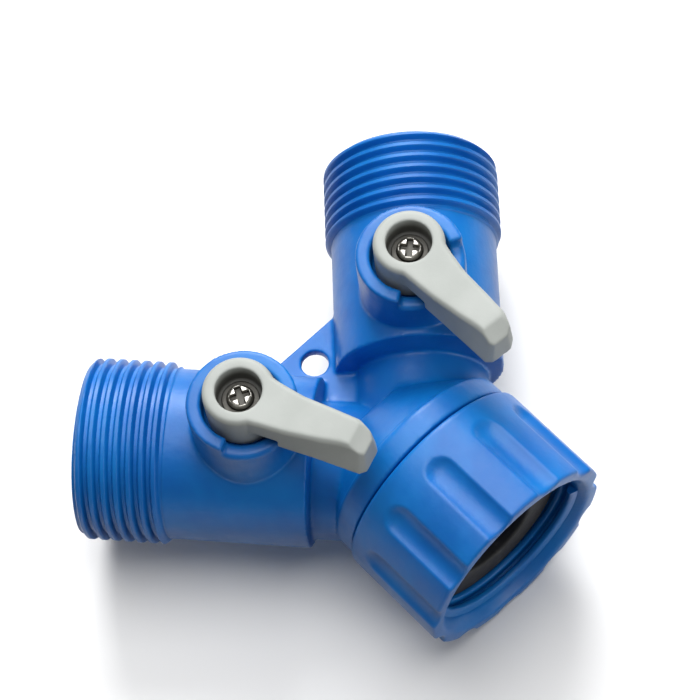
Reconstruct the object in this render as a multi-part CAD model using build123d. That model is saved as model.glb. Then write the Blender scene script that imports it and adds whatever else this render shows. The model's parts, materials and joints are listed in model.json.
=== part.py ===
from build123d import *
import math
import os

# Two-way hose splitter: a Y-shaped manifold with a swivel nut inlet and two ball-valved outlets.
# Frame: the mouth of the swivel nut is centred on the origin and faces -Y, the outlets point towards
# +Y and to either side, and the levers are on the +Z side. All sizes are in millimetres.

# ---- Threads: G 3/4 parallel, a male one on each outlet and a female one in the nut ----
thread_pitch = 1.814
thread_major_r = 13.22
thread_minor_r = 12.06
male_root_depth = 0.92         # rounded moulded thread, shallower than a cut one
male_crest_flat = 0.5
female_crest_flat = 0.95       # the nut's moulded thread has broad crests
groove_floor_flat = 0.4
thread_end_chamfer = 0.8

# ---- Plan layout of the Y ----
junction_y = 18.9              # from the nut's mouth to where the three axes cross
arm_angle = 41.2               # each outlet's axis, away from the inlet's axis
valve_s = 24.4                 # distances along an arm are from the crossing point
arm_inner_s = 15.6
arm_thread_s = 36.1
outlet_s = 49.0

# ---- Manifold body ----
arm_r = 12.35
neck_r = 10.0
neck_drop = 3.0                # the neck's axis lies this far below the arm's axis
passage_r = 5.6
passage_start_s = 7.0
cavity_r = 9.7                 # holds the ball, the seats and the retainer
collar_r = 15.7
collar_front_y = 17.4
collar_back_y = 21.2
collar_edge = 0.7
shoulder_cone_back_y = 28.5
shoulder_cone_small_r = 8.0
chamber_end_y = 26.8
chamber_end_r = 4.6
web_half_thickness = 0.9
web_edge_y = 45.8
web_edge_half_width = 9.0
web_root_y = 30.0
web_root_half_width = 4.5
web_hole_r = 2.05
web_hole_y = 42.2

# ---- Valve boss ----
boss_r = 7.8
boss_recess_r = 5.75
boss_rim_z = 20.5
boss_low_rim_z = 18.6
boss_floor_z = 16.8
boss_rim_chamfer = 0.5
stem_hole_r = 3.5

# ---- Inlet tailpiece, washer and swivel nut ----
tail_r = 9.4
tail_bore_r = 6.6
tail_hub_r = 10.3
tail_flange_r = 11.7
tail_flange_front_y = 7.2
tail_flange_thickness = 1.8
tail_depth = 5.0               # how far the tube goes into the body
tail_groove_y = 19.4
tail_groove_width = 1.5
tail_groove_depth = 1.2
washer_thickness = 2.8
washer_r = 11.9
washer_bore_r = 6.9
nut_r = 16.35
nut_collar_gap = 0.4
nut_mouth_r = 14.15
nut_countersink = 1.6
nut_chamber_r = 12.6
nut_front_edge = 0.5
nut_back_edge = 0.6
flute_count = 11
flute_phase = -9.6             # degrees from +Z towards +X, to the first flute
flute_depth = 0.95
flute_cutter_r = 3.1
flute_end_y = 14.7

# ---- Ball and its seats ----
ball_r = 8.6
ball_bore_r = 5.3
ball_slot_width = 2.6
ball_slot_depth = 2.0
seat_bore_r = 6.3
seat_thickness = 2.35
seat_wrap = 1.4                # how far the seats' backs lie inside the ends of the ball
retainer_length = 9.0
retainer_bore_r = 6.5
retainer_flare = 1.2
retainer_slot_width = 2.4
retainer_slot_depth = 2.0
retainer_groove_from_seat = 2.6
oring_groove_width = 1.6
retainer_groove_depth = 1.35

# ---- Stem, lever and screw ----
stem_flange_r = 4.3
stem_flange_thickness = 1.6
stem_groove_depth = 0.95
stem_groove_width = 1.2
stem_groove_pitch = 2.1
stem_lower_groove_z = 11.6
stem_collar_rise = 1.1         # how far the round part stands above the boss floor
stem_square = 4.6
stem_square_height = 2.1
stem_pilot_bottom_z = 12.2
tang_length = 7.4
hub_r = 5.12
hub_floor_gap = 0.4            # between the hub and the boss floor
lever_top_z = 24.3
lever_rim_gap = 0.3            # between the lever's underside and the tall rim
lever_skirt_z = 19.3
lever_skirt_gap = 0.3          # between the skirt and the outside of the boss
lever_length = 20.2
lever_tip_lean = 0.7           # how much shorter the lever is at its top
lever_slope_start = 3.0        # how far before the tip the top begins to slope down
lever_slope = 28.0
lever_edge = 0.45
hub_top_fillet = 0.8
# Half outlines of the arm, as share of the length and distance from the middle, thumb side first:
# at the skirt's lower edge, and at the top, which draws in along the thumb side.
lever_foot_thumb = ((0, 4.4), (0.25, 3.75), (0.42, 3.45), (0.64, 3.0), (0.82, 2.75), (0.96, 2.55), (1, 1.7))
lever_foot_back = ((0, 4.4), (0.25, 3.8), (0.42, 3.65), (0.64, 3.7), (0.86, 3.8), (0.95, 2.8), (1, 1.6))
lever_top_thumb = ((0, 4.4), (0.26, 3.6), (0.44, 3.15), (0.67, 2.2), (0.84, 1.35), (0.97, 1.1), (1, 0.7))
lever_top_back = ((0, 4.4), (0.26, 3.5), (0.44, 3.1), (0.67, 3.2), (0.87, 3.2), (0.97, 2.4), (1, 1.5))
lever_pocket_wall = 1.4
lever_pocket_half_width = 1.5
counterbore_r = 3.27
counterbore_depth = 3.4
hub_plate_thickness = 0.8
stop_half_angle = 15.0
stop_rim_gap = 0.3
stop_play = 1.0                # degrees between the rib and the ends of the low rim
screw_head_r = 1.85
screw_head_height = 1.5
screw_flange_r = 2.65
screw_flange_thickness = 0.4
screw_shank_r = 1.15
screw_length = 7.6
recess_width = 0.95
recess_span = 2.9
recess_depth = 0.9
recess_turn = 45.0

# ---- Travel: a quarter turn, from open along the arm to closed across it ----
valve_travel = 90.0
open_to_rest = {"right": 36.5, "left": 21.0}

# ---- Clearances ----
running = 0.08                 # round parts that turn in each other, on the radius
fixed = 0.03                   # parts that are pressed or clamped together
seat_play = 0.05               # between the ball and its seats
square_play = 0.05             # each side of the stem's square
axial_play = 0.2

# ---- Making ----
overcut = 1.0                  # how far a cutting shape reaches past what it cuts
sector_steps = 12

# ---- Sizes that follow ----
cavity_shoulder_s = valve_s - ball_r + seat_wrap
tail_hub_front_y = tail_flange_front_y + tail_flange_thickness
tail_back_y = collar_front_y + tail_depth
washer_front_y = tail_flange_front_y - washer_thickness
nut_back_y = collar_front_y - nut_collar_gap
nut_lip_front_y = tail_hub_front_y + axial_play
nut_thread_end_y = washer_front_y - axial_play
nut_lip_r = tail_hub_r + running
seat_outer_r = cavity_r - fixed
inner_seat_s = cavity_shoulder_s + fixed
outer_seat_s = 2 * valve_s - inner_seat_s - seat_thickness
retainer_s = outer_seat_s + seat_thickness + fixed
stem_r = stem_hole_r - running
stem_flange_bottom_z = ball_r + axial_play
stem_flange_top_z = stem_flange_bottom_z + stem_flange_thickness
stem_collar_top_z = boss_floor_z + stem_collar_rise
stem_top_z = stem_collar_top_z + stem_square_height
hub_bottom_z = boss_floor_z + hub_floor_gap
plate_top_z = lever_top_z - counterbore_depth
plate_bottom_z = plate_top_z - hub_plate_thickness
lever_under_z = boss_rim_z + lever_rim_gap
stop_bottom_z = boss_low_rim_z + stop_rim_gap
rib_half_angle = stop_half_angle - stop_play
MIN = (Align.CENTER, Align.CENTER, Align.MIN)


def save(name, *solids):
    """Write one node, made of one solid or of several separate ones."""
    shape = solids[0] if len(solids) == 1 else Compound(children=list(solids))
    export_step(shape, f"parts/{name}.step")


def along_y(y_from, y_to, radius, radius_to=None):
    """A round bar about the Y axis, or a cone where a second radius is given."""
    length = y_to - y_from
    bar = Cylinder(radius, length, align=MIN)
    if radius_to is not None:
        bar = Cone(radius, radius_to, length, align=MIN)
    return Pos(0, y_from, 0) * Rot(-90, 0, 0) * bar


def along_z(z_from, z_to, radius):
    """A round bar about the Z axis."""
    return Pos(0, 0, z_from) * Cylinder(radius, z_to - z_from, align=MIN)


def oring(groove_floor_r, bore_r):
    """A ring of round section, about Z, that fills a groove up to the wall round it."""
    section_r = (bore_r - groove_floor_r) / 2 - fixed
    return Torus(groove_floor_r + fixed + section_r, section_r)


def groove_turn(crest_r, depth, outside):
    """One turn of a thread's groove about Z, cutting from the crest to the root."""
    sign = -1 if outside else 1
    clear = depth / 2
    floor = groove_floor_flat / 2
    flank = (thread_pitch - (male_crest_flat if outside else female_crest_flat)) / 2
    mouth = floor + (flank - floor) * (1 + clear / depth)
    helix = Helix(thread_pitch, thread_pitch, crest_r)
    section = Plane(origin=helix @ 0, z_dir=helix % 0, x_dir=(1, 0, 0)) * make_face(
        Polyline(
            (-sign * clear, mouth),
            (sign * depth, floor),
            (sign * depth, -floor),
            (-sign * clear, -mouth),
            close=True,
        )
    )
    return sweep(section, helix, is_frenet=True)


def thread_grooves(y_from, y_to, crest_r, depth, outside):
    """The turns of groove that cut a thread about the Y axis between two places."""
    turn = groove_turn(crest_r, depth, outside)
    count = math.ceil((y_to - y_from) / thread_pitch)
    return [Pos(0, y_from + i * thread_pitch, 0) * Rot(-90, 0, 0) * turn for i in range(count)]


def sector(angle_from, angle_to, radius, z_from, z_to):
    """A pie slice about Z, its angles taken from -Y towards +X."""
    step = (angle_to - angle_from) / sector_steps
    angles = [math.radians(angle_from + i * step) for i in range(sector_steps + 1)]
    reach = radius / math.cos(math.radians(step / 2))
    rim = [(reach * math.sin(a), -reach * math.cos(a)) for a in angles]
    face = make_face(Polyline((0, 0), *rim, close=True))
    return Pos(0, 0, z_from) * extrude(face, z_to - z_from)


def arm_place(side):
    """The frame of one arm: its own Y axis is the outlet's axis, from the crossing point."""
    turn = -arm_angle if side == "right" else arm_angle
    return Pos(0, junction_y, 0) * Rot(0, 0, turn)


def handed(shape, side):
    """A shape made for the right arm, or its mirror image for the left one."""
    return shape if side == "right" else mirror(shape, about=Plane.YZ)


def valve_place(side, turned=True):
    """The frame of one valve: its Z axis is the stem's, and -Y points the way the lever does."""
    angle = open_to_rest[side] if turned else 0
    turn = angle if side == "right" else -angle
    return arm_place(side) * Pos(0, valve_s, 0) * Rot(0, 0, turn)


def arm_outside():
    """One arm's tube, threaded end and neck, in the arm's own frame."""
    tube = along_y(arm_inner_s, arm_thread_s + thread_pitch / 2, arm_r)
    tube += along_y(arm_thread_s, outlet_s, thread_major_r)
    tube -= along_y(outlet_s - thread_end_chamfer, outlet_s, thread_major_r + overcut) - along_y(
        outlet_s - thread_end_chamfer, outlet_s, thread_major_r, thread_major_r - thread_end_chamfer
    )
    run_out = male_root_depth
    tube -= along_y(arm_thread_s, arm_thread_s + run_out, thread_major_r + overcut) - along_y(
        arm_thread_s, arm_thread_s + run_out, thread_major_r - male_root_depth, thread_major_r
    )
    for turn in thread_grooves(
        arm_thread_s + run_out, outlet_s + thread_pitch, thread_major_r, male_root_depth, True
    ):
        tube -= turn
    neck = Pos(0, 0, -neck_drop) * along_y(0, arm_inner_s + overcut, neck_r)
    return tube + (neck & along_y(0, arm_inner_s + overcut, arm_r))


def valve_boss():
    """The round boss that carries a stem, with its tall and low rims, about the stem's axis."""
    boss = along_z(0, boss_low_rim_z, boss_r)
    boss = chamfer(boss.edges().group_by(Axis.Z)[-1], boss_rim_chamfer)
    tall = along_z(0, boss_rim_z, boss_r)
    sweep_from = -stop_half_angle
    sweep_to = valve_travel + stop_half_angle
    return boss + (tall - sector(
        sweep_from, sweep_to, boss_r + overcut, boss_low_rim_z - overcut, boss_rim_z + overcut
    ))


def stem_bores():
    """What is cut from a boss: the hub's recess, the stem's hole and the seat of its flange."""
    bores = along_z(boss_floor_z, boss_rim_z + overcut, boss_recess_r)
    bores += along_z(0, boss_floor_z + overcut, stem_hole_r)
    return bores + along_z(0, stem_flange_top_z + fixed, stem_flange_r + running)


def manifold_body():
    """The one-piece Y: collar, necks, arms with their threads, web, bosses and every passage."""
    collar = along_y(collar_front_y, collar_back_y, collar_r)
    collar = fillet(collar.edges().group_by(Axis.Y)[-1], collar_edge)
    cone_r = collar_r - collar_edge
    body = collar + along_y(collar_back_y, shoulder_cone_back_y, cone_r, shoulder_cone_small_r)
    web = make_face(
        Polyline(
            (-web_edge_half_width, web_edge_y),
            (web_edge_half_width, web_edge_y),
            (web_root_half_width, web_root_y),
            (-web_root_half_width, web_root_y),
            close=True,
        )
    )
    body += Pos(0, 0, -web_half_thickness) * extrude(web, 2 * web_half_thickness)
    outside = arm_outside()
    # the necks reach back to the crossing point, so only what lies behind the collar's front is kept
    behind = Pos(0, collar_front_y, 0) * Box(
        4 * outlet_s, 4 * outlet_s, 4 * outlet_s, align=(Align.CENTER, Align.MIN, Align.CENTER)
    )
    for side in open_to_rest:
        body += arm_place(side) * outside & behind
        body += valve_place(side, turned=False) * handed(valve_boss(), side)
    for side in open_to_rest:
        body -= arm_place(side) * along_y(cavity_shoulder_s, outlet_s + overcut, cavity_r)
        body -= arm_place(side) * along_y(passage_start_s, cavity_shoulder_s + overcut, passage_r)
        body -= valve_place(side, turned=False) * stem_bores()
    body -= along_y(collar_front_y - overcut, tail_back_y + fixed, tail_r + fixed)
    body -= along_y(tail_back_y - overcut, chamber_end_y, tail_bore_r, chamber_end_r)
    return body - Pos(0, web_hole_y, 0) * Cylinder(web_hole_r, 4 * web_half_thickness)


def inlet_tailpiece():
    """The flanged tube that holds the swivel nut and is pressed into the body."""
    tail = along_y(tail_hub_front_y, collar_front_y - fixed, tail_hub_r)
    tail += along_y(tail_flange_front_y, tail_hub_front_y, tail_flange_r)
    tail += along_y(collar_front_y - overcut, tail_back_y, tail_r)
    tail -= along_y(tail_flange_front_y - overcut, tail_back_y + overcut, tail_bore_r)
    groove_end_y = tail_groove_y + tail_groove_width
    groove = along_y(tail_groove_y, groove_end_y, tail_r + overcut)
    return tail - (groove - along_y(tail_groove_y, groove_end_y, tail_r - tail_groove_depth))


def tailpiece_oring():
    """The ring that seals the tailpiece in the body."""
    ring = oring(tail_r - tail_groove_depth, tail_r + fixed)
    return Pos(0, tail_groove_y + tail_groove_width / 2, 0) * Rot(90, 0, 0) * ring


def inlet_washer():
    """The flat rubber washer against the tailpiece's flange."""
    return along_y(washer_front_y, tail_flange_front_y, washer_r) - along_y(
        washer_front_y - overcut, tail_flange_front_y + overcut, washer_bore_r
    )


def swivel_nut():
    """The fluted nut, threaded inside, that turns on the tailpiece's hub behind its flange."""
    nut = along_y(0, nut_back_y, nut_r)
    nut = fillet(nut.edges().group_by(Axis.Y)[0], nut_front_edge)
    nut = fillet(nut.edges().group_by(Axis.Y)[-1], nut_back_edge)
    nut -= along_y(-overcut, nut_thread_end_y + overcut, thread_minor_r)
    nut -= along_y(nut_thread_end_y, nut_lip_front_y, nut_chamber_r)
    nut -= along_y(nut_lip_front_y - overcut, nut_back_y + overcut, nut_lip_r)
    nut -= along_y(0, nut_countersink, nut_mouth_r, thread_minor_r)
    depth = thread_major_r - thread_minor_r
    for turn in thread_grooves(0, nut_thread_end_y, thread_minor_r, depth, False):
        nut -= turn
    flute = along_y(-flute_cutter_r, flute_end_y - flute_cutter_r, flute_cutter_r)
    flute += Pos(0, flute_end_y - flute_cutter_r, 0) * Sphere(flute_cutter_r)
    reach = nut_r - flute_depth + flute_cutter_r
    for i in range(flute_count):
        nut -= Rot(0, flute_phase + 360 * i / flute_count, 0) * Pos(0, 0, reach) * flute
    return nut


def seat_ring(start_s, gap):
    """A ring against the ball, hollowed to the ball's own curve, in the arm's frame."""
    ring = along_y(start_s, start_s + seat_thickness, seat_outer_r)
    ring -= along_y(start_s - overcut, start_s + seat_thickness + overcut, seat_bore_r)
    return ring - Pos(0, valve_s, 0) * Sphere(ball_r + gap)


def seat_retainer():
    """The sleeve pressed in from the outlet, which holds the outer seat against the ball."""
    end_s = retainer_s + retainer_length
    sleeve = along_y(retainer_s, end_s, cavity_r - fixed)
    sleeve -= along_y(retainer_s - overcut, end_s + overcut, retainer_bore_r)
    sleeve -= along_y(end_s - retainer_flare, end_s, retainer_bore_r, retainer_bore_r + retainer_flare)
    groove_s = retainer_s + retainer_groove_from_seat
    groove_end_s = groove_s + oring_groove_width
    sleeve -= along_y(groove_s, groove_end_s, cavity_r + overcut) - along_y(
        groove_s, groove_end_s, cavity_r - retainer_groove_depth
    )
    slot = Box(3 * cavity_r, 2 * retainer_slot_depth, retainer_slot_width)
    return sleeve - Pos(0, end_s, 0) * slot


def retainer_oring():
    """The ring that seals the retainer in the arm."""
    middle_s = retainer_s + retainer_groove_from_seat + oring_groove_width / 2
    ring = oring(cavity_r - retainer_groove_depth, cavity_r)
    return Pos(0, middle_s, 0) * Rot(90, 0, 0) * ring


def valve_ball():
    """The bored ball, in the valve's frame: its bore lies along the lever, its slot across it."""
    ball = Sphere(ball_r) - along_y(-2 * ball_r, 2 * ball_r, ball_bore_r)
    slot = Box(3 * ball_r, ball_slot_width, ball_slot_depth, align=MIN)
    return ball - Pos(0, 0, ball_r - ball_slot_depth) * slot


def valve_stem():
    """The stem: tang, flange, two ring grooves, round collar, square drive and pilot hole."""
    stem = along_z(stem_flange_bottom_z, stem_flange_top_z, stem_flange_r)
    stem += along_z(stem_flange_top_z - overcut, stem_collar_top_z, stem_r)
    stem += Pos(0, 0, stem_collar_top_z) * Box(stem_square, stem_square, stem_square_height, align=MIN)
    tang_bottom_z = ball_r - ball_slot_depth + axial_play / 2
    tang_width = ball_slot_width - 2 * square_play
    tang = Box(tang_length, tang_width, stem_flange_bottom_z - tang_bottom_z, align=MIN)
    stem += Pos(0, 0, tang_bottom_z) * tang
    for i in range(2):
        z = stem_lower_groove_z + i * stem_groove_pitch
        stem -= along_z(z, z + stem_groove_width, stem_r + overcut) - along_z(
            z, z + stem_groove_width, stem_hole_r - stem_groove_depth
        )
    return stem - along_z(stem_pilot_bottom_z, stem_top_z + overcut, screw_shank_r + fixed)


def stem_oring(i):
    """One of the two rings on a stem, counted from below."""
    middle_z = stem_lower_groove_z + i * stem_groove_pitch + stem_groove_width / 2
    return Pos(0, 0, middle_z) * oring(stem_hole_r - stem_groove_depth, stem_hole_r)


def lever_plan(thumb, back, length, z, inset=0.0):
    """One level of the lever's arm, which points along -Y, from its two half outlines."""
    left = [(inset - x, share * (inset - length)) for share, x in thumb]
    right = [(x - inset, share * (inset - length)) for share, x in back]
    return Pos(0, 0, z) * make_face(Polyline(*left, *reversed(right), close=True))


def lever_arm():
    """The arm: drafted sides, a broken upper edge, and a flat top that slopes down before the tip."""
    top_length = lever_length - lever_tip_lean
    edge_z = lever_top_z - lever_edge
    foot = lever_plan(lever_foot_thumb, lever_foot_back, lever_length, lever_skirt_z)
    shoulder = lever_plan(lever_top_thumb, lever_top_back, top_length, edge_z)
    top = lever_plan(lever_top_thumb, lever_top_back, top_length, lever_top_z, lever_edge)
    arm = loft([foot, shoulder], ruled=True) + loft([shoulder, top], ruled=True)
    above = Box(4 * hub_r, 2 * lever_length, 2 * lever_length, align=(Align.CENTER, Align.MAX, Align.MIN))
    return arm - Pos(0, lever_slope_start - lever_length, lever_top_z) * Rot(lever_slope, 0, 0) * above


def lever():
    """The lever: hub with its counterbore and square, arm, skirt, underside pocket and stop."""
    skirt_inner_r = boss_r + lever_skirt_gap
    arm = lever_arm() - along_z(lever_skirt_z - overcut, lever_under_z, skirt_inner_r)
    hub = along_z(hub_bottom_z, lever_top_z, hub_r)
    hub = fillet(hub.edges().group_by(Axis.Z)[-1], hub_top_fillet)
    solid = hub + arm
    pocket_from = skirt_inner_r + lever_pocket_wall
    pocket = Box(
        2 * lever_pocket_half_width,
        lever_length - lever_slope_start - pocket_from,
        lever_top_z - lever_skirt_z - lever_pocket_wall,
        align=(Align.CENTER, Align.MAX, Align.MIN),
    )
    solid -= Pos(0, -pocket_from, lever_skirt_z) * pocket
    stop = sector(-rib_half_angle, rib_half_angle, boss_r, stop_bottom_z, lever_under_z + overcut)
    solid += stop & along_z(stop_bottom_z, lever_under_z + overcut, boss_r - stop_rim_gap)
    solid -= along_z(plate_top_z, lever_top_z + overcut, counterbore_r)
    solid -= along_z(plate_bottom_z - overcut, plate_top_z + overcut, screw_shank_r + running)
    square = stem_square + 2 * square_play
    square_from = stem_collar_top_z - fixed
    solid -= Pos(0, 0, square_from) * Box(square, square, plate_bottom_z - square_from, align=MIN)
    return solid - along_z(hub_bottom_z - overcut, stem_collar_top_z + fixed, stem_r + running)


def lever_screw():
    """The cross-recessed screw, with a washer face, that clamps the lever on the stem."""
    head_z = plate_top_z + fixed
    head = along_z(head_z, head_z + screw_head_height, screw_head_r)
    head = fillet(head.edges().group_by(Axis.Z)[-1], screw_head_height / 2)
    head += along_z(head_z, head_z + screw_flange_thickness, screw_flange_r)
    screw = head + along_z(head_z - screw_length, head_z + fixed, screw_shank_r)
    screw = chamfer(screw.edges().group_by(Axis.Z)[0], screw_shank_r / 2)
    for turn in (0, 90):
        wing = Box(recess_span, recess_width, 2 * recess_depth)
        screw -= Pos(0, 0, head_z + screw_head_height) * Rot(0, 0, recess_turn + turn) * wing
    return screw


os.makedirs("parts", exist_ok=True)
save("manifold_body", manifold_body())
save("inlet_tailpiece", inlet_tailpiece())
save("tailpiece_oring", tailpiece_oring())
save("inlet_washer", inlet_washer())
save("swivel_nut", swivel_nut())
for side in open_to_rest:
    arm_frame = arm_place(side)
    valve_frame = valve_place(side)
    save(f"{side}_inner_seat", arm_frame * seat_ring(inner_seat_s, seat_play))
    save(f"{side}_outer_seat", arm_frame * seat_ring(outer_seat_s, seat_play))
    save(f"{side}_seat_retainer", arm_frame * seat_retainer())
    save(f"{side}_retainer_oring", arm_frame * retainer_oring())
    save(f"{side}_ball", valve_frame * valve_ball())
    save(f"{side}_stem", valve_frame * valve_stem())
    save(f"{side}_stem_lower_oring", valve_frame * stem_oring(0))
    save(f"{side}_stem_upper_oring", valve_frame * stem_oring(1))
    save(f"{side}_lever", valve_frame * lever())
    save(f"{side}_lever_screw", valve_frame * lever_screw())
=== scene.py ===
import json
import math

import bmesh
import bpy
from mathutils import Matrix, Vector


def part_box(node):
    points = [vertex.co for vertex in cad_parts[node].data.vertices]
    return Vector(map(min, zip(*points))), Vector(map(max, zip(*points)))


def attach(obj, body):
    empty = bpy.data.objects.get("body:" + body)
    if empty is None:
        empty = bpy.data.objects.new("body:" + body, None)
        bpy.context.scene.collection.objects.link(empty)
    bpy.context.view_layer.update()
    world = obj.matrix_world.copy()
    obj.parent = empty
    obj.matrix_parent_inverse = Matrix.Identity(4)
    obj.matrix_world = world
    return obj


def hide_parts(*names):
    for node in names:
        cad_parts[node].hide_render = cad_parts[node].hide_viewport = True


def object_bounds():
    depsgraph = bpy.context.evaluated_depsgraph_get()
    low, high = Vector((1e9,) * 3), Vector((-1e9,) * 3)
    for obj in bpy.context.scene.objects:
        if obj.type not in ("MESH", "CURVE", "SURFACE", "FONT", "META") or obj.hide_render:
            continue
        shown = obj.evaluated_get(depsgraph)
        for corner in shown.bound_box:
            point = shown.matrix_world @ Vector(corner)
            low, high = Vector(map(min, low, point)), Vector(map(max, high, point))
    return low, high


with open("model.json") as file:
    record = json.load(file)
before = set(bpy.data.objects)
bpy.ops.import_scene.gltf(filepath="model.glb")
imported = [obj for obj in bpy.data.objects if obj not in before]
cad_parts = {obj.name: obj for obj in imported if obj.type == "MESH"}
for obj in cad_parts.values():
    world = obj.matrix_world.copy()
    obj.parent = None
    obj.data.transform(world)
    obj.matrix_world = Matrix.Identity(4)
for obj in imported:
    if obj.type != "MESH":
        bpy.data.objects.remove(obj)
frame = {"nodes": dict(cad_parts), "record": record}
cad_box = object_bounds()
mm = 0.001

# ---- Sizes that the CAD and these pieces share ----
junction = Vector((0, 18.9, 0)) * mm
arm_angle = math.radians(41.2)
valve_s = 24.4 * mm
outlet_s = 49.0 * mm
cavity_r = 9.7 * mm
counterbore_r = 3.27 * mm
pitch = 1.814 * mm
crest_r = 13.22 * mm
sides = ("right", "left")


def arm_direction(side):
    sign = 1 if side == "right" else -1
    return Vector((sign * math.sin(arm_angle), math.cos(arm_angle), 0))


# ======================================================================================
# Shader maths
# ======================================================================================

class Field:
    """A value or colour that changes over a surface; sums and products of it add nodes."""

    def __init__(self, finish, socket):
        self.finish = finish
        self.socket = socket

    def maths(self, operation, *others):
        return self.finish.node("ShaderNodeMath", {"operation": operation}, *others)

    def __add__(self, other):
        return self.maths("ADD", self, other)

    def __radd__(self, other):
        return self.maths("ADD", other, self)

    def __sub__(self, other):
        return self.maths("SUBTRACT", self, other)

    def __rsub__(self, other):
        return self.maths("SUBTRACT", other, self)

    def __mul__(self, other):
        return self.maths("MULTIPLY", self, other)

    def __rmul__(self, other):
        return self.maths("MULTIPLY", other, self)

    def within(self, low, high):
        """0 below low, 1 above high, and smooth between them."""
        return self.finish.node(
            "ShaderNodeMapRange", {"interpolation_type": "SMOOTHSTEP"}, self, low, high, 0.0, 1.0
        )

    def root(self):
        return self.maths("SQRT", self)


class Finish:
    """One material: its nodes, and the shader that they feed."""

    def __init__(self, name, **shader_values):
        self.material = bpy.data.materials.new(name)
        self.material.use_nodes = True
        self.tree = self.material.node_tree
        self.shader = self.tree.nodes["Principled BSDF"]
        for socket, value in shader_values.items():
            self.shader.inputs[socket.replace("_", " ")].default_value = value
        self.place = self.node("ShaderNodeTexCoord", {}, output="Object")

    def node(self, kind, settings, *values, output=0, **named):
        """A node with its settings made first, then its inputs by place or by name."""
        node = self.tree.nodes.new(kind)
        for key, value in settings.items():
            setattr(node, key, value)
        for slot, value in list(enumerate(values)) + list(named.items()):
            if value is None:
                continue
            socket = node.inputs[slot.replace("_", " ") if isinstance(slot, str) else slot]
            if isinstance(value, Field):
                self.tree.links.new(value.socket, socket)
            else:
                socket.default_value = value
        return Field(self, node.outputs[output])

    def noise(self, per_metre, detail=2.0, rough=0.5):
        return self.node(
            "ShaderNodeTexNoise", {}, Vector=self.place, Scale=per_metre, Detail=detail, Roughness=rough
        )

    def axis(self, index):
        """One coordinate of the surface's place, in metres."""
        return self.node("ShaderNodeSeparateXYZ", {}, self.place, output=index)

    def blend(self, factor, first, second):
        """A colour between two colours."""
        return self.node(
            "ShaderNodeMix", {"data_type": "RGBA"}, factor, *[None] * 5, first, second, output=2
        )

    def raised(self, height, distance, strength, normal=None):
        """The normal of a surface raised by a height field of that depth in metres."""
        values = {"Strength": strength, "Distance": distance, "Height": height}
        if normal is not None:
            values["Normal"] = normal
        return self.node("ShaderNodeBump", {}, **values)

    def feed(self, **sockets):
        for socket, field in sockets.items():
            self.tree.links.new(field.socket, self.shader.inputs[socket.replace("_", " ")])
        return self.material


def moulded_blue():
    """Semi-gloss blue polypropylene, with faint flow shading and a fine moulded skin."""
    f = Finish(
        "moulded_blue", IOR=1.49, Specular_IOR_Level=0.42, Subsurface_Weight=0.12,
        Subsurface_Radius=(0.0006, 0.0012, 0.004), Subsurface_Scale=0.5,
    )
    flow = f.noise(90.0, 3.0, 0.55)
    fine = f.noise(2600.0, 3.0, 0.6)
    grain = f.noise(700.0, 2.0, 0.5)
    deep = (0.001, 0.115, 0.42, 1)
    light = (0.002, 0.165, 0.52, 1)
    colour = f.blend(flow.within(0.3, 0.72), deep, light)
    rough = 0.3 + 0.12 * grain + 0.06 * flow
    normal = f.raised(fine, 0.00003, 0.35)
    normal = f.raised(grain, 0.00012, 0.3, normal)
    return f.feed(Base_Color=colour, Roughness=rough, Normal=normal)


def moulded_grey():
    """Satin light grey plastic of the levers, with painted shade darkening the counterbores."""
    f = Finish("moulded_grey", IOR=1.49, Specular_IOR_Level=0.4)
    flow = f.noise(160.0, 3.0, 0.5)
    fine = f.noise(3200.0, 3.0, 0.6)
    colour = f.blend(flow.within(0.3, 0.7), (0.34, 0.36, 0.34, 1), (0.38, 0.40, 0.38, 1))
    # Painted shade: inside each counterbore's radius and below the lever's top, the colour turns dark,
    # as occlusion would.
    counterbore_shade = (0.06, 0.057, 0.05, 1)
    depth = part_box("right_lever")[1].z - f.axis(2)
    for side in sides:
        centre = junction + arm_direction(side) * valve_s
        across, along = f.axis(0) - centre.x, f.axis(1) - centre.y
        distance = (across * across + along * along).root()
        hollow = 1 - distance.within(counterbore_r, counterbore_r + 0.2 * mm)
        colour = f.blend(0.85 * hollow * depth.within(0.2 * mm, 2.2 * mm), colour, counterbore_shade)
    rough = 0.46 + 0.12 * fine
    normal = f.raised(fine, 0.00003, 0.4)
    return f.feed(Base_Color=colour, Roughness=rough, Normal=normal)


def moulded_white():
    """Natural white acetal of the parts inside."""
    f = Finish("moulded_white", IOR=1.48, Specular_IOR_Level=0.5)
    flow = f.noise(200.0, 2.0, 0.5)
    colour = f.blend(flow, (0.72, 0.72, 0.69, 1), (0.80, 0.80, 0.77, 1))
    rough = 0.28 + 0.15 * flow
    return f.feed(Base_Color=colour, Roughness=rough, Normal=f.raised(flow, 0.00005, 0.3))


def plated_steel():
    """Bright plated screw head, with fine scratches, and painted shade darkening its recess and washer
    face.
    """
    f = Finish("plated_steel", Metallic=1.0)
    scratch = f.noise(3500.0, 4.0, 0.7)
    stain = f.noise(900.0, 2.0, 0.5)
    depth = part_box("right_lever_screw")[1].z - f.axis(2)
    # Painted shade: below the head's top the colour turns near black, for the cross recess and the
    # washer face.
    sunk = depth.within(0.4 * mm, 0.9 * mm)
    bright = f.blend(stain.within(0.35, 0.7), (0.50, 0.48, 0.43, 1), (0.72, 0.70, 0.66, 1))
    colour = f.blend(sunk, bright, (0.07, 0.068, 0.062, 1))
    rough = 0.2 + 0.2 * scratch + 0.15 * sunk
    return f.feed(Base_Color=colour, Roughness=rough, Normal=f.raised(scratch, 0.00004, 0.5))


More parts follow.
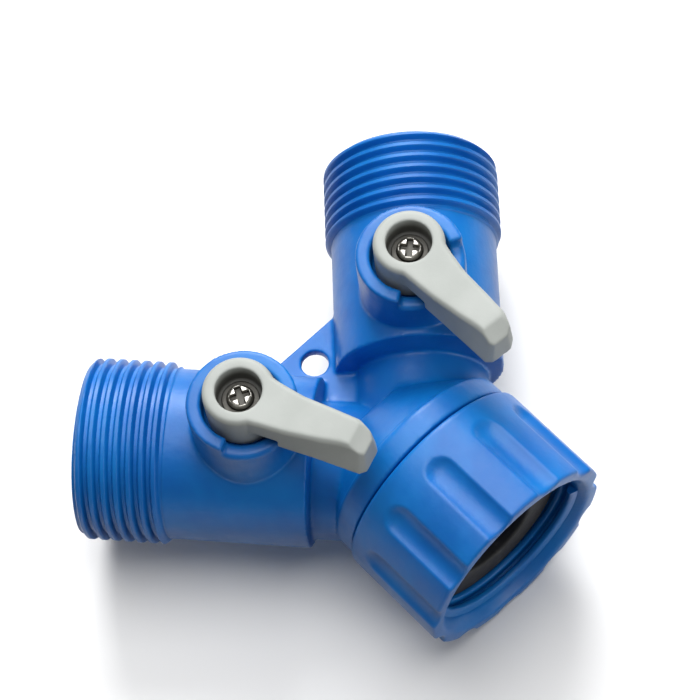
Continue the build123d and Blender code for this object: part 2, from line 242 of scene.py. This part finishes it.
def black_rubber():
    """Matt black rubber with a little dust."""
    f = Finish("black_rubber", Specular_IOR_Level=0.35)
    dust = f.noise(600.0, 4.0, 0.6)
    fine = f.noise(4000.0, 2.0, 0.5)
    colour = f.blend(dust.within(0.5, 0.8), (0.02, 0.02, 0.021, 1), (0.05, 0.049, 0.048, 1))
    rough = 0.5 + 0.25 * dust
    return f.feed(Base_Color=colour, Roughness=rough, Normal=f.raised(fine, 0.00005, 0.5))


finishes = {
    "blue_plastic": moulded_blue(),
    "grey_plastic": moulded_grey(),
    "white_plastic": moulded_white(),
    "steel": plated_steel(),
    "black_rubber": black_rubber(),
}
node_slots = {part["node"]: part["material_slot"] for part in frame["record"]["subparts"]}
for name, part in frame["nodes"].items():
    part.data.materials.clear()
    part.data.materials.append(finishes[node_slots[name]])


# ======================================================================================
# Making pieces
# ======================================================================================

def placed_on_arm(bm, side):
    """Turns a shape made about +Y, with the crossing point at its origin, onto one arm."""
    turn = -arm_angle if side == "right" else arm_angle
    place = Matrix.Translation(junction) @ Matrix.Rotation(turn, 4, "Z")
    bmesh.ops.transform(bm, matrix=place, verts=bm.verts)


def finished(name, bm, body, slot, replaced, sharp=40.0):
    """The piece of a bmesh, smooth shaded but for edges over sharp degrees, in place of CAD nodes."""
    bmesh.ops.remove_doubles(bm, verts=bm.verts, dist=1e-6)
    bmesh.ops.recalc_face_normals(bm, faces=bm.faces)
    mesh = bpy.data.meshes.new(name)
    bm.to_mesh(mesh)
    bm.free()
    mesh.polygons.foreach_set("use_smooth", [True] * len(mesh.polygons))
    mesh.set_sharp_from_angle(angle=math.radians(sharp))
    mesh.materials.append(finishes[slot])
    piece = bpy.data.objects.new(name, mesh)
    bpy.context.scene.collection.objects.link(piece)
    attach(piece, body)
    if replaced:
        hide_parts(*replaced)
    return piece


def softened(node, voxel, rounds, share=1.0):
    """A bmesh of a CAD node with every edge slightly rounded, thinned to a share of its faces."""
    bm = bmesh.new()
    bm.from_mesh(frame["nodes"][node].data)
    bmesh.ops.remove_doubles(bm, verts=bm.verts, dist=1e-6)
    mesh = bpy.data.meshes.new(node + "_copy")
    bm.to_mesh(mesh)
    bm.free()
    rough = bpy.data.objects.new(node + "_copy", mesh)
    bpy.context.scene.collection.objects.link(rough)
    remesh = rough.modifiers.new("remesh", "REMESH")
    remesh.mode = "VOXEL"
    remesh.voxel_size = voxel
    ease = rough.modifiers.new("ease", "SMOOTH")
    ease.factor = 0.5
    ease.iterations = rounds
    if share < 1:
        rough.modifiers.new("thin", "DECIMATE").ratio = share
    depsgraph = bpy.context.evaluated_depsgraph_get()
    eased = bpy.data.meshes.new_from_object(rough.evaluated_get(depsgraph))
    soft = bmesh.new()
    soft.from_mesh(eased)
    for spare in (mesh, eased):
        bpy.data.meshes.remove(spare)
    return soft


def chain(bm, points):
    """A line of edges through points."""
    verts = [bm.verts.new(p) for p in points]
    edges = [bm.edges.new(pair) for pair in zip(verts, verts[1:])]
    return verts + edges


def turned(profile, steps):
    """A bmesh turned about Y from a closed outline of (y, radius) points in millimetres."""
    bm = bmesh.new()
    points = [(r * mm, y * mm, 0) for y, r in profile]
    bmesh.ops.spin(
        bm, geom=chain(bm, points + points[:1]), axis=(0, 1, 0), cent=(0, 0, 0), angle=2 * math.pi,
        steps=steps, use_merge=True,
    )
    return bm


def cut_across(bm, place, along):
    """Cuts off what lies beyond a plane, and returns the edges round the cut."""
    cut = bmesh.ops.bisect_plane(
        bm, geom=bm.verts[:] + bm.edges[:] + bm.faces[:], plane_co=place, plane_no=along,
        clear_outer=True,
    )
    return [e for e in cut["geom_cut"] if isinstance(e, bmesh.types.BMEdge)]


def narrowed(vert, radius):
    """Moves a vertex square to the Y axis until it lies at a radius from it."""
    scale = radius / math.hypot(vert.co.x, vert.co.z)
    vert.co.x *= scale
    vert.co.z *= scale


def rounded(profile, radius, parts=3):
    """A closed (y, radius) outline with each corner rounded."""
    out = []
    for i, corner in enumerate(profile):
        p = Vector(corner)
        before = Vector(profile[i - 1]) - p
        after = Vector(profile[(i + 1) % len(profile)]) - p
        reach = min(radius, before.length / 2, after.length / 2)
        a = p + before.normalized() * reach
        b = p + after.normalized() * reach
        for k in range(parts + 1):
            t = k / parts
            out.append(tuple((1 - t) ** 2 * a + 2 * t * (1 - t) * p + t * t * b))
    return out


# ======================================================================================
# Y body
# ======================================================================================

outlet_start_s = 36.0 * mm

# ---- The crotch: the outside between the collar and this far along each arm ----
crotch_start_y = 21.6 * mm
crotch_end_s = 14.8 * mm
passage_r = 6.7 * mm


def y_body():
    """The moulded Y without its threaded ends: softened edges and a smooth crotch."""
    bm = softened("manifold_body", voxel=0.27 * mm, rounds=4, share=0.4)
    for side in sides:
        along = arm_direction(side)
        bmesh.ops.bridge_loops(bm, edges=cut_across(bm, junction + along * outlet_start_s, along))
    crotch = []
    for v in bm.verts:
        gap = v.co - junction
        reach = [gap.dot(arm_direction(side)) for side in sides]
        off_axis = min((gap - arm_direction(side) * r).length for side, r in zip(sides, reach))
        if v.co.y > crotch_start_y and max(reach) < crotch_end_s and off_axis > passage_r:
            crotch.append(v)
    for i in range(16):
        bmesh.ops.smooth_vert(
            bm, verts=crotch, factor=0.5, use_axis_x=True, use_axis_y=True, use_axis_z=True
        )
    return finished("y_body", bm, "manifold", "blue_plastic", ["manifold_body"], 60.0)


# ---- Outlet thread ----
crest_height = 0.92 * mm
crest_share = 0.75         # of the wave, from the groove's floor to the crest's flat
groove_share = 0.1         # of the wave, taken up by the groove's floor
end_chamfer = 0.8 * mm
run_in_slope = 0.9         # how fast the thread rises from the tube
run_in_height = 0.05 * mm


def thread_height(turn):
    """The thread's height at a number of turns along it: a rounded crest and a flat groove."""
    wave = 0.5 + 0.5 * math.cos(2 * math.pi * turn)
    crest = min(1.0, max(0.0, (wave - groove_share) / crest_share))
    return crest_height * crest * crest * (3 - 2 * crest)


def threaded_outlet(side):
    """One outlet's end: a helical thread with rounded crests, running out at both ends."""
    per_turn = 16
    around = 120
    root_r = crest_r - crest_height
    turns = math.ceil((outlet_s - outlet_start_s) / pitch) + 2
    points = []
    for i in range(turns * per_turn + 1):
        turn = i / per_turn
        points.append((root_r + thread_height(turn), outlet_start_s + (turn - 1) * pitch, 0))
    bm = bmesh.new()
    bmesh.ops.spin(
        bm, geom=chain(bm, points), axis=(0, 1, 0), cent=(0, 0, 0), angle=2 * math.pi, steps=around,
        dvec=(0, pitch / around, 0),
    )
    bmesh.ops.remove_doubles(bm, verts=bm.verts, dist=pitch / per_turn / 20)
    bore_rims = []
    for place, out in ((outlet_start_s, -1), (outlet_s, 1)):
        rim = cut_across(bm, (0, place, 0), (0, out, 0))
        inward = bmesh.ops.extrude_edge_only(bm, edges=rim)["geom"]
        for item in inward:
            if isinstance(item, bmesh.types.BMVert):
                item.co.y = place
                narrowed(item, cavity_r)
            elif isinstance(item, bmesh.types.BMEdge):
                bore_rims.append(item)
    for v in bm.verts:
        at_end = crest_r - max(0.0, end_chamfer - (outlet_s - v.co.y))
        at_start = root_r + run_in_height + (v.co.y - outlet_start_s) * run_in_slope
        limit = min(at_end, at_start)
        if math.hypot(v.co.x, v.co.z) > limit:
            narrowed(v, limit)
    bmesh.ops.bridge_loops(bm, edges=bore_rims)
    placed_on_arm(bm, side)
    return finished(side + "_threaded_outlet", bm, "manifold", "blue_plastic", [], 38.0)


# ======================================================================================
# Swivel nut
# ======================================================================================

# ---- In millimetres ----
nut_r = 16.35
nut_back_y = 17.0
nut_mouth_r = 14.3
nut_countersink = 1.6
nut_root_r = 13.15
nut_chamber_r = 12.6
nut_lip_r = 10.38
nut_minor_r = 12.06
washer_bore_r = 6.9
washer_r = 11.9
washer_play = 0.2
flange_and_play = 2.0      # from the washer's back to the lip that holds the nut
flute_step = 0.4           # between the rings of vertices that the flutes are sunk into

# ---- In metres, as the flutes are sunk into a finished mesh ----
flute_count = 11
flute_phase = math.radians(-9.6)
flute_end = 13.9 * mm
flute_cutter_r = 3.1 * mm
flute_depth = 0.95 * mm
flute_axis_out = flute_cutter_r - flute_depth     # from the nut's outside to the cutter's axis
nut_skin_r = 14.9 * mm                            # what lies further out is the nut's outside


def swivel_nut():
    """The nut's wall, turned, then fluted outside; the flutes run out through the mouth's rim."""
    washer_front, washer_back = (corner.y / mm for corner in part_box("inlet_washer"))
    thread_end = washer_front - washer_play
    lip = washer_back + flange_and_play
    corners = rounded(
        [
            (0.0, nut_mouth_r), (nut_countersink, nut_root_r), (thread_end, nut_root_r),
            (thread_end, nut_chamber_r), (lip, nut_chamber_r), (lip, nut_lip_r),
            (nut_back_y, nut_lip_r), (nut_back_y, nut_r), (0.0, nut_r),
        ],
        0.5,
    )
    profile = []
    for (y0, r0), (y1, r1) in zip(corners, corners[1:] + corners[:1]):
        profile.append((y0, r0))
        if min(r0, r1) > nut_r - 0.05 and y0 > y1:
            parts = int((y0 - y1) / flute_step)
            profile += [(y0 + (y1 - y0) * k / parts, r0) for k in range(1, parts)]
    bm = turned(profile, 400)
    half_width = math.sqrt(flute_cutter_r ** 2 - flute_axis_out ** 2)
    between = 2 * math.pi / flute_count
    for v in bm.verts:
        radius = math.hypot(v.co.x, v.co.z)
        if radius < nut_skin_r or v.co.y > flute_end:
            continue
        angle = math.atan2(v.co.x, v.co.z) - flute_phase
        across = ((angle + between / 2) % between - between / 2) * radius
        away = math.hypot(across, max(0.0, v.co.y - flute_end + half_width))
        if away < half_width:
            narrowed(v, radius - math.sqrt(flute_cutter_r ** 2 - away ** 2) + flute_axis_out)
    return finished("nut_wall", bm, "nut", "blue_plastic", ["swivel_nut"], 50.0)


def nut_thread():
    """The nut's thread: one broad rounded ridge wound inside the wall."""
    around = 90
    turns = 1.5
    start_y = 1.9
    flank = [(nut_root_r + 0.05, 0.75), (12.6, 0.55), (nut_minor_r + 0.08, 0.4), (nut_minor_r, 0.25)]
    ridge = [(r, -y) for r, y in flank] + flank[::-1]
    points = [(r * mm, (start_y + y) * mm, 0) for r, y in ridge]
    bm = bmesh.new()
    chain(bm, points + points[:1])
    bmesh.ops.remove_doubles(bm, verts=bm.verts, dist=1e-7)
    bmesh.ops.spin(
        bm, geom=bm.verts[:] + bm.edges[:], axis=(0, 1, 0), cent=(0, 0, 0), angle=2 * math.pi * turns,
        steps=int(around * turns), dvec=(0, pitch / around, 0),
    )
    bmesh.ops.holes_fill(bm, edges=bm.edges, sides=len(ridge))
    return finished("nut_thread", bm, "nut", "blue_plastic", [], 60.0)


# ======================================================================================
# Washer, levers and screws
# ======================================================================================

def inlet_washer():
    """The flat rubber washer, with rolled edges."""
    front, back = (corner.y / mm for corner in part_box("inlet_washer"))
    outline = [(front, washer_bore_r), (back, washer_bore_r), (back, washer_r), (front, washer_r)]
    bm = turned(rounded(outline, 0.5), 120)
    return finished("washer", bm, "manifold", "black_rubber", ["inlet_washer"])


def softened_node(name, node, body, slot, voxel, rounds):
    """A CAD node with softened edges, as a piece that stands for it."""
    return finished(name, softened(node, voxel, rounds), body, slot, [node], 80.0)


y_body()
for side in sides:
    threaded_outlet(side)
    valve = side + "_valve"
    softened_node(side + "_grip", side + "_lever", valve, "grey_plastic", 0.14 * mm, 20)
    softened_node(side + "_cross_screw", side + "_lever_screw", valve, "steel", 0.07 * mm, 2)
swivel_nut()
nut_thread()
inlet_washer()


# ======================================================================================
# Camera, light and floor
# ======================================================================================

camera = bpy.data.cameras.new("camera")
camera.lens = 128.84
camera.sensor_width = 36.0
camera.clip_end = 5.0
camera_place = bpy.data.objects.new("camera", camera)
camera_place.location = (-0.084635, -0.091329, 0.332988)
camera_place.rotation_euler = [math.radians(a) for a in (25.279, 4.171, -43.097)]
bpy.context.scene.collection.objects.link(camera_place)
bpy.context.scene.camera = camera_place
bpy.context.scene.view_settings.view_transform = "Standard"


def soft_light(name, place, size, watts):
    """A square studio light aimed at the middle of the part."""
    lamp = bpy.data.lights.new(name, "AREA")
    lamp.shape = "SQUARE"
    lamp.size = size
    lamp.energy = watts
    held = bpy.data.objects.new(name, lamp)
    held.location = place
    aim = Vector((0, 0.03, 0)) - Vector(place)
    held.rotation_euler = aim.to_track_quat("-Z", "Y").to_euler()
    bpy.context.scene.collection.objects.link(held)


soft_light("overhead", (0.05, 0.1, 0.6), 0.5, 3.0)
soft_light("key", (0.34, 0.44, 0.42), 0.35, 5.2)
soft_light("front", (0.25, -0.6, 0.22), 0.3, 1.2)

world = bpy.data.worlds.new("studio")
world.use_nodes = True
sky = world.node_tree.nodes["Background"]
sky.inputs["Color"].default_value = (1, 1, 1, 1)
sky.inputs["Strength"].default_value = 0.17
bpy.context.scene.world = world

floor_bm = bmesh.new()
bmesh.ops.create_grid(floor_bm, x_segments=1, y_segments=1, size=1.5)
bmesh.ops.translate(floor_bm, vec=(0, 0, cad_box[0][2] - 0.2 * mm), verts=floor_bm.verts)
floor_mesh = bpy.data.meshes.new("floor")
floor_bm.to_mesh(floor_mesh)
floor_bm.free()
floor = bpy.data.objects.new("floor", floor_mesh)
bpy.context.scene.collection.objects.link(floor)
paper = Finish("paper", Roughness=0.9)
paper.feed(Base_Color=paper.blend(paper.noise(6.0), (0.93, 0.93, 0.93, 1), (0.95, 0.95, 0.95, 1)))
floor.data.materials.append(paper.material)
# The floor throws no bounced light on the part, so that its undersides stay dark.
floor.visible_diffuse = False
